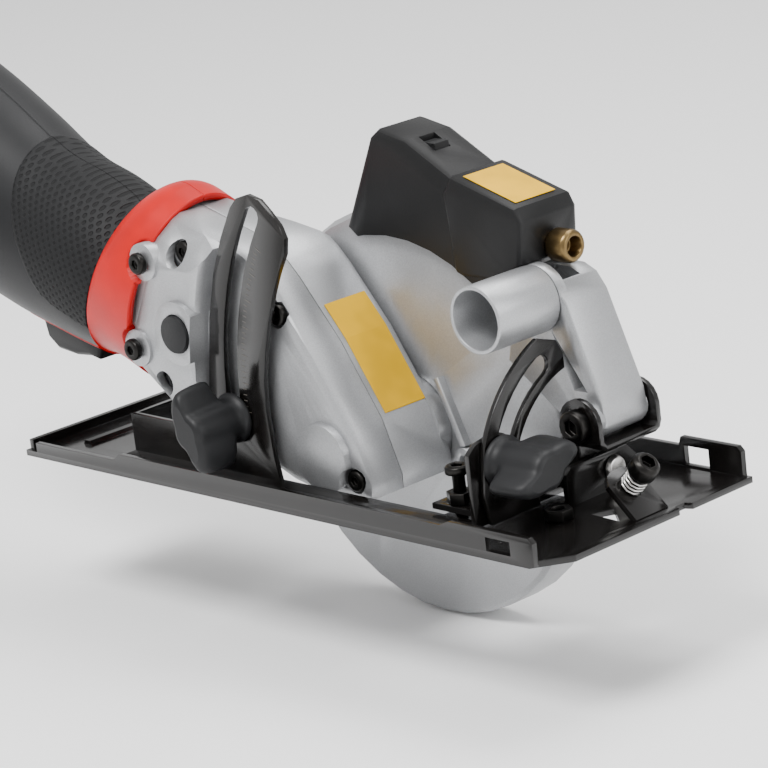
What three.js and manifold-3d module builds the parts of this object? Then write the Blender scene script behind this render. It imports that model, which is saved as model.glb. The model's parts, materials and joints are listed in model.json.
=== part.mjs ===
// Compact circular saw: a barrel-grip saw with an in-line motor, a 115 mm blade, a tilting carriage
// and a pressed steel base plate. Millimetres, +X is the cutting direction, +Y is the blade side, +Z is up.
// The origin lies on the sole, under the rear panel of the base plate. The saw is shown at its full
// depth of cut and at zero bevel.
import * as THREE from 'three';
import { mergeVertices } from 'three/addons/utils/BufferGeometryUtils.js';
import Module from 'manifold-3d';

const wasm = await Module();
wasm.setup();

// ---------------------------------------------------------------- driving dimensions
const gap = 0.3; // clearance between neighbouring pieces
const sliver = 0.06; // detail finer than this is merged away
const coarse = 0.2; // the same, for the large castings and mouldings
const arcSteps = 16; // segments in a full circle of a small piece
const roundSteps = 24; // segments in a full circle of a large piece

const plate = { length: 244, width: 90, sheet: 2, rearX: -29, lip: 4 };
plate.frontX = plate.rearX + plate.length;
plate.nearY = -plate.width / 2;
plate.farY = plate.width / 2;

const blade = { radius: 57.5, thickness: 1.6, boreRadius: 5, x: 104, y: 23, z: 13.5, teeth: 24 };
const depthPin = { x: 183.5, z: 25.5, radius: 3, travel: 34 };
const bevelPin = { y: 17.5, z: 8.5, radius: 2.5, travel: 45 };
const depthClamp = { radius: 115.5, angle: 181.2, boltRadius: 2.5, slotHalf: 3.2 };
const bevelClamp = { radius: 40, angle: 162.4, boltRadius: 2.5, slotHalf: 3.2 };

const steel = 1.8; // sheet of the carriage and brackets
const carriage = { rearX: 14, nearY: -30 - steel, floorZ: plate.sheet + 0.4, wallTop: 17, frontX: 171.2 };
const quadrant = { x: carriage.frontX + steel + gap, outer: 48, inner: 33.5 };
const clevis = { nearY: 5, farY: 32.5, bottomZ: 17.5, rearX: 176, frontX: 191.5 };
const bracket = { x: clevis.rearX + 6 };

const tilt = THREE.MathUtils.degToRad(22.5); // rise of the motor towards the rear
const motor = { y: -13.5, fieldRadius: 19, armatureRadius: 11.5, shaftRadius: 3 };
const gearCase = { nearY: -27, partY: motor.y, farY: 10, wall: 2.8, round: 3.5 };
const guard = { radius: 70, wall: 2.4, nearY: 11.2, farY: 31, lowerRadius: 65.5, lowerWall: 1.5 };
const collar = { front: 84, rear: 106, halfWidth: 26.5, halfHeight: 34.5, centre: 12.8, wall: 3 };
const tube = { x: 165, z: 61.5, radius: 10.6, bore: 9.3, mouthY: -15.5 };

// ---------------------------------------------------------------- materials
function finish(color, metalness, roughness) {
  return () => new THREE.MeshStandardMaterial({ color, metalness, roughness });
}
const look = {
  blackSteel: finish(0x1b1816, 0.3, 0.3),
  castSilver: finish(0xb9bcc0, 0.4, 0.45),
  brightSteel: finish(0xc8c8c8, 0.9, 0.3),
  darkScrew: finish(0x2a2a2c, 0.7, 0.4),
  greyPlastic: finish(0x3a3b3e, 0, 0.6),
  rubber: finish(0x2b2c2e, 0, 0.85),
  redPlastic: finish(0xd8261c, 0, 0.45),
  blackPlastic: finish(0x1f1f21, 0, 0.6),
  copper: finish(0xb36a36, 0.7, 0.4),
  brass: finish(0xb99654, 0.8, 0.35),
};

// ---------------------------------------------------------------- solids
function solid(geometry) {
  const bare = geometry.clone();
  bare.deleteAttribute('normal');
  bare.deleteAttribute('uv');
  const merged = mergeVertices(bare, 1e-4);
  const corners = merged.index.array;
  const faces = [];
  for (let i = 0; i < corners.length; i += 3) {
    const [a, b, c] = corners.slice(i, i + 3);
    if (a !== b && b !== c && c !== a) faces.push(a, b, c); // a turned profile closes to a point on its axis
  }
  return new wasm.Manifold(new wasm.Mesh({
    numProp: 3,
    vertProperties: new Float32Array(merged.attributes.position.array),
    triVerts: new Uint32Array(faces),
  }));
}

function union(...pieces) {
  return pieces.reduce((sum, piece) => sum.add(piece));
}

function cut(body, ...tools) {
  return tools.reduce((rest, tool) => rest.subtract(tool), body);
}

function geometryOf(manifold, detail) {
  const mesh = manifold.simplify(detail).getMesh();
  const geometry = new THREE.BufferGeometry();
  geometry.setAttribute('position', new THREE.BufferAttribute(new Float32Array(mesh.vertProperties), 3));
  geometry.setIndex(new THREE.BufferAttribute(new Uint32Array(mesh.triVerts), 1));
  geometry.computeVertexNormals();
  return geometry;
}

function shapeOf(points, holes = []) {
  const shape = new THREE.Shape(points.map(([x, y]) => new THREE.Vector2(x, y)));
  shape.holes = holes.map((hole) => new THREE.Path(hole.map(([x, y]) => new THREE.Vector2(x, y))));
  return shape;
}

// an (x, z) outline extruded from y0 to y1, with rounded edges on request
function prismY(points, y0, y1, holes = [], round = 0) {
  const geometry = new THREE.ExtrudeGeometry(shapeOf(points, holes), {
    depth: y1 - y0 - 2 * round,
    bevelEnabled: round > 0,
    bevelThickness: round,
    bevelSize: round,
    bevelOffset: -round,
    bevelSegments: 2,
  });
  geometry.rotateX(Math.PI / 2);
  geometry.translate(0, y1 - round, 0);
  return solid(geometry);
}

// a (y, z) outline extruded from x0 to x1
function prismX(points, x0, x1, holes = []) {
  const geometry = new THREE.ExtrudeGeometry(shapeOf(points, holes), { depth: x1 - x0, bevelEnabled: false });
  geometry.applyMatrix4(new THREE.Matrix4().set(0, 0, 1, x0, 1, 0, 0, 0, 0, 1, 0, 0, 0, 0, 0, 1));
  return solid(geometry);
}

// an (x, y) outline extruded from z0 to z1
function prismZ(points, z0, z1, holes = []) {
  const geometry = new THREE.ExtrudeGeometry(shapeOf(points, holes), { depth: z1 - z0, bevelEnabled: false });
  geometry.translate(0, 0, z0);
  return solid(geometry);
}

function box(x0, x1, y0, y1, z0, z1) {
  const geometry = new THREE.BoxGeometry(x1 - x0, y1 - y0, z1 - z0);
  geometry.translate((x0 + x1) / 2, (y0 + y1) / 2, (z0 + z1) / 2);
  return solid(geometry);
}

// a turned solid from [radius, distance along the axis] points, which start and end on the axis
function turned(profile, steps = arcSteps) {
  return new THREE.LatheGeometry(profile.map(([r, h]) => new THREE.Vector2(r, h)), steps);
}

function rod(radius, h0, h1, steps = arcSteps) {
  return turned([[0, h0], [radius, h0], [radius, h1], [0, h1]], steps);
}

function ring(inner, outer, h0, h1, steps = arcSteps) {
  return turned([[inner, h0], [outer, h0], [outer, h1], [inner, h1], [inner, h0]], steps);
}

// lathe geometry stands on +Y; these turn its axis and place it
function alongY(geometry, x, z) {
  geometry.translate(x, 0, z);
  return solid(geometry);
}

function alongX(geometry, y, z) {
  geometry.rotateZ(-Math.PI / 2);
  geometry.translate(0, y, z);
  return solid(geometry);
}

function alongZ(geometry, x, y) {
  geometry.rotateX(Math.PI / 2);
  geometry.translate(x, y, 0);
  return solid(geometry);
}

// points on an arc, angles in degrees, in any pair of axes
function arc(cx, cy, radius, from, to, steps) {
  return Array.from({ length: steps + 1 }, (_, i) => {
    const angle = THREE.MathUtils.degToRad(from + ((to - from) * i) / steps);
    return [cx + radius * Math.cos(angle), cy + radius * Math.sin(angle)];
  });
}

function polar(cx, cy, radius, angle) {
  return arc(cx, cy, radius, angle, angle, 1)[0];
}

// a closed circle, for holes in an outline
function circle(cx, cy, radius, steps = 16) {
  return arc(cx, cy, radius, 0, 360, steps).slice(0, -1);
}

// a curved slot about a centre, with round ends
function slotAbout(cx, cy, radius, half, from, to) {
  const [ax, ay] = polar(cx, cy, radius, from);
  const [bx, by] = polar(cx, cy, radius, to);
  return [
    ...arc(cx, cy, radius + half, from, to, 8),
    ...arc(bx, by, half, to, to + 180, 6).slice(1, -1),
    ...arc(cx, cy, radius - half, to, from, 8),
    ...arc(ax, ay, half, from + 180, from + 360, 6).slice(1, -1),
  ];
}

// moves every edge of a closed outline inwards; the outline runs anticlockwise
function inset(points, distance) {
  return points.map(([x, y], i) => {
    const [px, py] = points[(i + points.length - 1) % points.length];
    const [nx, ny] = points[(i + 1) % points.length];
    const before = new THREE.Vector2(x - px, y - py).normalize();
    const after = new THREE.Vector2(nx - x, ny - y).normalize();
    const normal = new THREE.Vector2(-before.y - after.y, before.x + after.x).normalize();
    const reach = distance / Math.max(0.5, normal.dot(new THREE.Vector2(-before.y, before.x)));
    return [x + normal.x * reach, y + normal.y * reach];
  });
}

// an oval solid along X through stations { u, a, b, v }: half-width a in Y, half-height b in Z, centre v
function ovalSolid(stations, steps = roundSteps) {
  const geometry = new THREE.LatheGeometry([
    new THREE.Vector2(0, 0),
    ...stations.map((_, i) => new THREE.Vector2(1, i)),
    new THREE.Vector2(0, stations.length - 1),
  ], steps);
  const place = geometry.attributes.position;
  for (let i = 0; i < place.count; i += 1) {
    const { u, a, b, v } = stations[Math.round(place.getY(i))];
    const side = place.getX(i) * a;
    const up = place.getZ(i) * b + v;
    place.setXYZ(i, -u, side, up);
  }
  return solid(geometry);
}

function node(parent, name, manifold, material, detail = sliver) {
  const mesh = new THREE.Mesh(geometryOf(manifold, detail), material());
  mesh.name = name;
  parent.add(mesh);
  return mesh;
}

// ---------------------------------------------------------------- groups, one for each moving body
const saw = new THREE.Group();
saw.name = 'circular_saw';
const body = {};
for (const name of ['base', 'carriage', 'head', 'motor_line']) {
  body[name] = new THREE.Group();
  body[name].name = name;
}
saw.add(body.base);
body.base.add(body.carriage);
body.carriage.add(body.head);
body.head.add(body.motor_line);
body.motor_line.position.set(blade.x, motor.y, blade.z);
body.motor_line.rotation.y = tilt;

// a point of the saw, (x, z), in the tilted frame of the motor line
function inLine(x, z) {
  const dx = x - blade.x;
  const dz = z - blade.z;
  return [dx * Math.cos(tilt) - dz * Math.sin(tilt), dx * Math.sin(tilt) + dz * Math.cos(tilt)];
}

// ---------------------------------------------------------------- fasteners and knobs
// these stand on their own +Y axis, with the seat at 0
function screw(shank, tip, headRadius, headHeight, socket = headRadius * 0.5) {
  const round = headHeight * 0.25;
  const whole = solid(turned([
    [0, tip], [shank, tip], [shank, 0], [headRadius, 0], [headRadius, headHeight - round],
    [headRadius - round, headHeight], [0, headHeight],
  ], 16));
  const key = solid(turned([
    [0, headHeight * 0.5], [socket, headHeight * 0.5], [socket, headHeight + 1], [0, headHeight + 1],
  ], 6));
  return whole.subtract(key);
}

function hexNut(radius, bore, h0, h1) {
  return solid(rod(radius, h0, h1, 6)).subtract(solid(rod(bore, h0 - 1, h1 + 1, 16)));
}

// turns a solid that stands on +Y so that it points another way, and moves it
function aim(manifold, way, x, y, z) {
  const turns = { '+y': [0, 0, 0], '-y': [180, 0, 0], '+x': [0, 0, -90], '+z': [90, 0, 0] };
  return manifold.rotate(turns[way]).translate([x, y, z]);
}

function wingKnob({ skirt, hub, span, length }, bore) {
  const core = solid(turned([
    [0, 0], [skirt, 0], [skirt, 1.6], [hub, 2.4], [hub * 0.94, length * 0.55],
    [hub * 0.8, length - 1], [hub * 0.6, length], [0, length],
  ]));
  const half = span / 2;
  const wing = prismY([
    [half, 4.5], [half - 2, 6.2], [7, 5.6], [-7, 7.2], [-half + 1, 5.4], [-half, 3],
    [-half, -4.5], [-half + 2, -6.2], [-7, -5.6], [7, -7.2], [half - 1, -5.4], [half, -3],
  ].reverse(), length * 0.3, length, [], 1.2);
  return union(core, wing).subtract(solid(rod(bore, -1, length * 0.75, 16)));
}

function coil(radius, wire, turns, length, steps = 10) {
  const count = turns * steps;
  const points = Array.from({ length: count + 1 }, (_, i) => {
    const angle = (2 * Math.PI * i) / steps;
    return new THREE.Vector3(radius * Math.cos(angle), (length * i) / count, radius * Math.sin(angle));
  });
  return solid(new THREE.ExtrudeGeometry(shapeOf(circle(0, 0, wire / 2, 5)), {
    steps: count,
    extrudePath: new THREE.CatmullRomCurve3(points),
  }));
}

// ---------------------------------------------------------------- base
function basePlate() {
  const { sheet, rearX, frontX, nearY, farY, lip } = plate;
  const slot = { nearY: -28.5, farY: 36.2, rearX: 30, frontX: 178.5, clampX: 153, stepY: 4 };
  const corner = 8;
  const notch = { y: 14.5, half: 3, depth: 2.5 };
  const outline = [
    [rearX, nearY], [frontX - corner, nearY], [frontX, nearY + corner * 1.4],
    [frontX, notch.y - notch.half], [frontX - notch.depth, notch.y - notch.half + 1],
    [frontX - notch.depth, notch.y + notch.half - 1], [frontX, notch.y + notch.half],
    [frontX, farY], [rearX, farY],
  ];
  const opening = [
    [slot.rearX, slot.nearY], [slot.clampX, slot.nearY], [slot.clampX, slot.stepY],
    [slot.frontX, slot.stepY], [slot.frontX, slot.farY], [slot.rearX, slot.farY],
  ];
  const lanced = [[193, -4.5], [197, 2.5], [206.5, -5.5]];
  const flange = {
    low: 5.2, mid: 7.6, high: 9.2, far: 11.5,
    stepX: 18, highX: 175, farX: 188.8, startX: rearX + 6, endX: frontX - 6,
  };
  const nearFlange = [
    [flange.startX, 0.5], [flange.endX, 0.5], [flange.endX, flange.high - 1.5],
    [flange.endX - 1.5, flange.high], [flange.highX, flange.high], [flange.highX - 4, flange.mid],
    [flange.stepX + 4, flange.mid], [flange.stepX, flange.low], [flange.startX, flange.low],
  ];
  const farFlange = [
    [flange.startX, 0.5], [flange.endX + 4, 0.5], [flange.endX + 4, flange.far - 1.5],
    [flange.endX + 2.5, flange.far], [flange.farX, flange.far], [flange.farX - 1, flange.mid + 1],
    [flange.startX, flange.mid + 1],
  ];
  const window = { x0: 190, x1: 199.8, z0: 2.6, near: 6.9, far: 8.8 };
  const windowAt = (top) => [
    [window.x0, window.z0], [window.x1, window.z0], [window.x1, top], [window.x0, top],
  ];
  const bead = { x: rearX + 16, half: 2.6, height: 1.4, inset: 14 };
  return union(
    prismZ(outline, 0, sheet, [opening, lanced]),
    prismY(nearFlange, nearY, nearY + sheet, [windowAt(window.near)]),
    prismY(farFlange, farY - sheet, farY, [windowAt(window.far)]),
    box(rearX, rearX + sheet, nearY + 2, farY - 2, 0.5, lip + 1.2),
    prismY([
      [bead.x - bead.half, 1], [bead.x + bead.half, 1], [bead.x + bead.half / 2, sheet + bead.height],
      [bead.x - bead.half / 2, sheet + bead.height],
    ], nearY + bead.inset, farY - bead.inset),
  );
}

// upright tab that carries the bevel pivot, in the plane from x0 to x1
function pivotTab(x0, x1, outline) {
  const hole = circle(bevelPin.y, bevelPin.z, bevelPin.radius + gap / 2);
  return prismX(outline, x0, x1, [hole]);
}

function bevelQuadrant() {
  const { y, z } = bevelPin;
  const foot = plate.sheet + gap;
  const outline = [
    ...arc(y, z, quadrant.outer, 112, 158, 12), [-29, foot + 9], [-27, foot], [-6, foot], [-8, foot + 10],
    ...arc(y, z, quadrant.inner, 156, 103, 10), [y - 7.6, 46], [y - 10, 50.5],
  ];
  const slot = slotAbout(
    y, z, bevelClamp.radius, bevelClamp.slotHalf,
    bevelClamp.angle - bevelPin.travel - 1.5, bevelClamp.angle + 1.5,
  );
  return prismX(outline, quadrant.x, quadrant.x + steel, [slot]);
}

// a rivet through two sheets, from x0 to x1, with a head at each end
function rivet(x0, x1) {
  const head = 1.7;
  return aim(solid(turned([
    [0, x0 - gap - head], [3.4, x0 - gap - head], [4.2, x0 - gap], [bevelPin.radius, x0 - gap],
    [bevelPin.radius, x1 + gap], [4.2, x1 + gap], [3.4, x1 + gap + head], [0, x1 + gap + head],
  ], 20)), '+x', 0, bevelPin.y, bevelPin.z);
}

// clamp for the parallel guide: a bent lug with a sprung socket screw, leaning forward
const guideClamp = { lean: 42, x: 202.5, y: 4, z: 8.6, reach: 8, shank: 2.4 };
function leaning(manifold) {
  return manifold.rotate([90, 0, 0]).rotate([0, guideClamp.lean, 0])
    .translate([guideClamp.x, guideClamp.y, guideClamp.z]);
}

const pivotPlateX = bracket.x - gap - steel;
const rearTabX = carriage.rearX - gap - plate.sheet;
const frontTab = pivotTab(bracket.x, bracket.x + plate.sheet, [
  [-3, 1], [34, 1], [33.5, 4.5], [24, 14], [-1, 14], [-3, 12],
]);
const rearTab = pivotTab(rearTabX, rearTabX + plate.sheet, [
  [8, 1], [27, 1], [24, 12], [21, 15], [14, 15], [11, 12],
]);
const clampLug = prismZ([
  [10.6, -7], [10.6, 7], [-3, 7], [-6, 5], [-7.2, 2], [-7.2, -2], [-6, -5], [-3, -7],
], -1, 1, [circle(0, 0, guideClamp.shank + gap, 12)]).rotate([0, guideClamp.lean, 0])
  .translate([guideClamp.x, guideClamp.y, guideClamp.z]);
node(body.base, 'base_plate', union(basePlate(), frontTab, rearTab, clampLug), look.blackSteel);
node(body.base, 'bevel_quadrant', bevelQuadrant(), look.blackSteel);
node(body.base, 'front_pivot_rivet', rivet(pivotPlateX, bracket.x + plate.sheet), look.brightSteel);
node(body.base, 'rear_pivot_rivet', rivet(rearTabX, carriage.rearX + steel), look.brightSteel);

node(body.base, 'guide_clamp_screw', leaning(
  screw(guideClamp.shank, -guideClamp.reach - 3.5, 4.5, 5.4, 2.4).translate([0, guideClamp.reach, 0]),
), look.darkScrew);
node(body.base, 'guide_clamp_spring', leaning(
  coil(3.5, 0.8, 4, guideClamp.reach - 2.6).translate([0, 1.8, 0]),
), look.brightSteel);
const stopNut = aim(hexNut(4.6, 2, 0, 3.2), '+z', 188.5, -12.5, plate.sheet + gap);
node(body.base, 'guide_stop_nut', stopNut, look.darkScrew);

// ---------------------------------------------------------------- tilting carriage
const bevelBolt = polar(bevelPin.y, bevelPin.z, bevelClamp.radius, bevelClamp.angle);
const depthBolt = polar(depthPin.x, depthPin.z, depthClamp.radius, depthClamp.angle);
const stop = { x: 161.5, y: -26, top: 16.6, shank: 2, tabZ: 5.4 };

function carriageSheet() {
  const { rearX, nearY, floorZ, wallTop, frontX } = carriage;
  const inner = nearY + steel;
  const arm = [
    [57.5, wallTop], [56.8, 32], [61.4, 55], [66, 69.5], [72, 82], [78.5, 92.5], [82, 95.8], [87, 97.3],
    [92.5, 96], [96.5, 92.5], [100.5, 88.5], [102.3, 84.5], [101.3, 79.5], [97.5, 73.5], [93.6, 66],
    [89.4, 55.8], [86.5, 46.5], [84, 36], [83.2, 27.5], [84.2, 12], [86, floorZ],
  ];
  const wall = prismY([[rearX, floorZ], [rearX, wallTop], ...arm].reverse(), nearY, inner);
  const armSlot = prismY(slotAbout(
    depthPin.x, depthPin.z, depthClamp.radius, depthClamp.slotHalf,
    depthClamp.angle - depthPin.travel - 1.5, depthClamp.angle + 1.5,
  ), nearY - 1, inner + 1);
  const strip = box(rearX, frontX + steel, nearY - 8, inner, floorZ, floorZ + steel);
  const rear = pivotTab(rearX, rearX + steel, [
    [nearY, floorZ], [19, 3], [22, 5], [23, 8], [22, 12], [18, 14.2], [8, 15], [0, wallTop], [nearY, wallTop],
  ]);
  const boltHole = circle(...bevelBolt, bevelClamp.boltRadius + gap);
  const front = prismX([
    [nearY, floorZ], [6.8, floorZ], [6.8, 15.5], [-9, 16], [-12.5, 21],
    ...arc(...bevelBolt, 8.4, 20, 110, 6), [nearY + 3, 27.5], [nearY, 25],
  ], frontX, frontX + steel, [boltHole]);
  const tab = cut(
    box(stop.x - 8, frontX + 1, inner - 0.5, stop.y + 5, stop.tabZ, stop.tabZ + steel),
    alongZ(rod(stop.shank + gap, -20, 20, 12), stop.x, stop.y),
  );
  return union(wall, strip, rear, front, tab).subtract(armSlot);
}

function clevisBracket() {
  const { nearY, farY, bottomZ, rearX, frontX } = clevis;
  const { x, z, radius } = depthPin;
  const pin = circle(x, z, radius + gap / 2, 20);
  const bend = 3;
  const ear = [
    [rearX, bottomZ + bend - 0.2], [frontX, bottomZ + bend - 0.2], ...arc(x, z, frontX - x, 5, 175, 10),
    [rearX, z],
  ];
  const floor = prismX([
    [nearY, bottomZ + bend], [nearY + 0.9, bottomZ + 0.9], [nearY + bend, bottomZ], [farY - bend, bottomZ],
    [farY - 0.9, bottomZ + 0.9], [farY, bottomZ + bend], [farY - steel, bottomZ + bend],
    [farY - bend, bottomZ + steel], [nearY + bend, bottomZ + steel], [nearY + steel, bottomZ + bend],
  ], rearX, frontX);
  const gusset = [
    [quadrant.x, 4], [pivotPlateX + steel, 4], [pivotPlateX + steel, bottomZ + 4], [rearX, bottomZ + 4],
    [quadrant.x, bottomZ],
  ];
  const pivotPlate = pivotTab(pivotPlateX, pivotPlateX + steel, [
    [nearY, 4], ...arc(bevelPin.y, bevelPin.z, 5.9, -90, 20, 6),
    [22.5, bottomZ + 0.5], [nearY, bottomZ + 0.5],
  ]);
  return union(
    prismY(ear, nearY, nearY + steel, [pin]),
    prismY(ear, farY - steel, farY, [pin]),
    floor,
    prismY(gusset, nearY, nearY + steel),
    pivotPlate,
  );
}

node(body.carriage, 'carriage', carriageSheet(), look.blackSteel);
node(body.carriage, 'depth_clevis', clevisBracket(), look.blackSteel);
const nearEar = clevis.nearY - gap;
node(body.carriage, 'depth_pin', cut(solid(turned([
  [0, nearEar - 3.6], [4.6, nearEar - 3.6], [5.2, nearEar - 2.8], [5.2, nearEar],
  [depthPin.radius, nearEar], [depthPin.radius, clevis.farY + 2.4], [0, clevis.farY + 2.4],
])), solid(rod(2.6, nearEar - 5, nearEar - 1.6, 6))).translate([depthPin.x, 0, depthPin.z]), look.darkScrew);
node(body.carriage, 'depth_pin_nut', hexNut(4.4, depthPin.radius + 0.1, clevis.farY + gap, clevis.farY + 2.3)
  .translate([depthPin.x, 0, depthPin.z]), look.darkScrew);
node(body.carriage, 'bevel_stop_screw', aim(
  screw(stop.shank, plate.sheet + 0.2 - stop.top, 4, 2.6, 2), '+z', stop.x, stop.y, stop.top,
), look.darkScrew);
node(body.carriage, 'bevel_stop_nut', aim(
  hexNut(4.4, stop.shank + 0.1, gap, 3.8), '+z', stop.x, stop.y, stop.tabZ + steel,
), look.darkScrew);

const knob = { skirt: 8.4, hub: 6.8, span: 29, length: 21 };
const bevelFace = quadrant.x + steel + gap;
node(body.carriage, 'bevel_bolt', aim(solid(turned([
  [0, -3], [4.2, -3], [4.8, -gap], [bevelClamp.boltRadius, -gap], [bevelClamp.boltRadius, 16], [0, 16],
], 16)), '+x', carriage.frontX - gap, ...bevelBolt), look.darkScrew);
const bevelKnob = new THREE.Group();
bevelKnob.name = 'bevel_knob_turn';
bevelKnob.position.set(bevelFace, ...bevelBolt);
body.carriage.add(bevelKnob);
node(bevelKnob, 'bevel_knob', wingKnob(knob, bevelClamp.boltRadius + 0.1)
  .rotate([0, 28, 0]).rotate([0, 0, -90]), look.greyPlastic);

// ---------------------------------------------------------------- gear case, in the motor line's frame
const caseOutline = [
  [-91, -19.5], [-60, -17.3], [-30, -17.3], [-12, -17], [-4.4, -15.5], [9.5, -9.8], [19.5, -5.6],
  [21.7, -3.5], [20.2, 1], [7.7, 14.5], [-14.8, 30.3], [-36.7, 42], [-43, 44.6], [-50, 46.4],
  [-58, 46.6], [-72, 45.1], [-87, 43.3], [-91, 42.8],
];
const hollowOutline = caseOutline.filter(([x]) => x < 15); // the tip of the nose is solid
const pinInLine = inLine(depthPin.x, depthPin.z);
const armClear = 128.3; // the thick part of the case stays outside this radius about the depth pin
const thickOutline = [
  [-91, -19.5], [-60, -17.3], [-52.5, -17.3],
  ...arc(...pinInLine, armClear, 203, 178.5, 6), [-72, 45.1], [-87, 43.3], [-91, 42.8],
];
const thickHollow = [
  [-90, -15], [-60, -13.6], [-56, -13.6], ...arc(...pinInLine, armClear + 3.4, 202, 180, 6), [-90, 40.5],
];
const gearCaseLocal = {
  near: gearCase.nearY - motor.y,
  thick: -22.5,
  far: gearCase.farY - motor.y,
};
const caseScrews = [
  { name: 'upper_lug', back: 83.5, up: 29, head: -24.2, tip: -16.2, lug: true },
  { name: 'lower_lug', back: 80, up: -1.5, head: -24.2, tip: -16.2, lug: true },
  { name: 'upper_rear', back: 72.5, up: 36.8, head: -15, tip: 11, post: 4.4 },
  { name: 'lower_rear', back: 66.5, up: -8, head: -15, tip: 11, post: 4.4 },
  { name: 'upper_front', back: 31.5, up: 34.6, head: -11.3, tip: 11, post: 4.4 },
  { name: 'lower_front', back: -13.5, up: -1.2, head: -11.3, tip: 11, post: 2.5 },
];
const screwHead = { radius: 3.6, height: 2.4, shank: 1.6, pocket: 4.3, lug: 6.2 };
const lock = { back: 63, up: 13.5, radius: 6.2, boss: 10.5, face: -25.5, bossFace: -24.3 };
const output = { boss: 11.2, bossFace: -16.2, seatEnd: -9.9, journal: 3.9, nose: 17, noseEnd: 17.4 };
const spur = { y0: -9.5, y1: -5, small: 8, idler: 12, large: 10 };
const spurTeeth = { small: 16, idler: 24, large: 20 };
const idlerBack = spur.large + spur.idler;
const bevelSet = { back: idlerBack + spur.idler + spur.small, pinionTeeth: 10, gearTeeth: 24, pinion: 5.2 };
const frontBearing = { u0: 72, u1: 78, radius: 8 };

function rodY(radius, x, z, y0, y1, steps = arcSteps) {
  return alongY(rod(radius, y0, y1, steps), x, z);
}

function ovalPart(u0, u1, [a0, b0], [a1, b1] = [a0, b0]) {
  return ovalSolid([{ u: u0, a: a0, b: b0, v: collar.centre }, { u: u1, a: a1, b: b1, v: collar.centre }]);
}

// half-width and half-height of an oval that lies inside the collar's outline by these amounts
function insideCollar(byWidth, byHeight = byWidth) {
  return [collar.halfWidth - byWidth, collar.halfHeight - byHeight];
}

// the case narrows to an oval where the collar takes over, and ends in a spigot inside the collar
const caseNeck = { start: 40, middle: 66, end: collar.front - gap, spigotEnd: 91 };
const caseEnvelope = union(
  box(-caseNeck.start - 0.5, 100, -100, 100, -100, 100),
  ovalPart(caseNeck.start, caseNeck.middle, insideCollar(-9.5, -11.5), insideCollar(-1.5, -3)),
  ovalPart(caseNeck.middle - 0.01, caseNeck.end, insideCollar(-1.5, -3), insideCollar(0.7)),
  ovalPart(caseNeck.end - 1, caseNeck.spigotEnd, insideCollar(collar.wall + gap)),
);
const neckOpening = ovalPart(75, 95, insideCollar(collar.wall + gap + gearCase.wall));
const neckClear = union(
  box(-caseNeck.start - 0.5, 100, -100, 100, -100, 100),
  ovalPart(caseNeck.start, 80, insideCollar(-6.5, -8.5), insideCollar(collar.wall + gap + 0.7)),
);

// both halves hold the front bearing of the motor
const bearingSeat = alongX(rod(15, -frontBearing.u1, -frontBearing.u0, 24), 0, 0);
const bearingBore = alongX(
  rod(frontBearing.radius + gap, -frontBearing.u1 - 1, -frontBearing.u0 + 1, 40), 0, 0,
);

function nearCase() {
  const { near, thick } = gearCaseLocal;
  const outside = union(
    prismY(caseOutline, near, 8, [], gearCase.round).intersect(caseEnvelope),
    prismY(thickOutline, thick, 8, [], gearCase.round - 0.5).intersect(caseEnvelope),
    rodY(output.boss, 0, 0, output.bossFace, 0, 32),
    rodY(lock.boss, -lock.back, lock.up, lock.bossFace, 0, 32),
    ...caseScrews.filter((place) => place.lug)
      .map((place) => rodY(screwHead.lug, -place.back, place.up, -23.6, -4, 20)),
  ).subtract(box(-200, 100, -gap / 2, 100, -100, 100));
  const wall = gearCase.wall;
  const cavity = union(
    prismY(inset(hollowOutline, wall + 0.6), near + wall, 1),
    prismY(thickHollow, thick + wall, 1).intersect(neckClear),
    neckOpening,
  );
  const posts = caseScrews.flatMap(({ back, up, head, tip, post }) => [
    rodY(screwHead.pocket + 1.8, -back, up, head - 2, head + 1.6, 16),
    post
      ? rodY(post, -back, up, head + 1.5, -gap / 2, 12)
      : rodY(screwHead.shank + 2, -back, up, head + 1.5, tip + 1, 12),
  ]);
  const seats = [
    rodY(output.journal + 3.2, 0, 0, output.bossFace + 2, output.seatEnd, 24),
    rodY(lock.radius + 2.2, -lock.back, lock.up, lock.bossFace + 1, -12, 24),
    bearingSeat,
  ];
  const inner = [...posts, ...seats].map((piece) => piece.intersect(outside));
  const shell = union(outside.subtract(cavity), ...inner);
  return cut(
    shell,
    rodY(armClear, ...pinInLine, -60, output.bossFace, 64),
    ...caseScrews.map(({ lug, back, up, head }) => (
      rodY(lug ? screwHead.radius + 0.5 : screwHead.pocket, -back, up, -40, head, 16)
    )),
    ...caseScrews.map((place) => rodY(screwHead.shank + 0.2, -place.back, place.up, place.head - 1, 10, 12)),
    rodY(lock.radius + gap, -lock.back, lock.up, -40, 5, 24),
    rodY(output.journal + 0.2, 0, 0, -13, 5, 24),
    rodY(spur.large + 1.4, 0, 0, spur.y0 - 0.3, 5, 32),
    bearingBore,
  );
}

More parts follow.
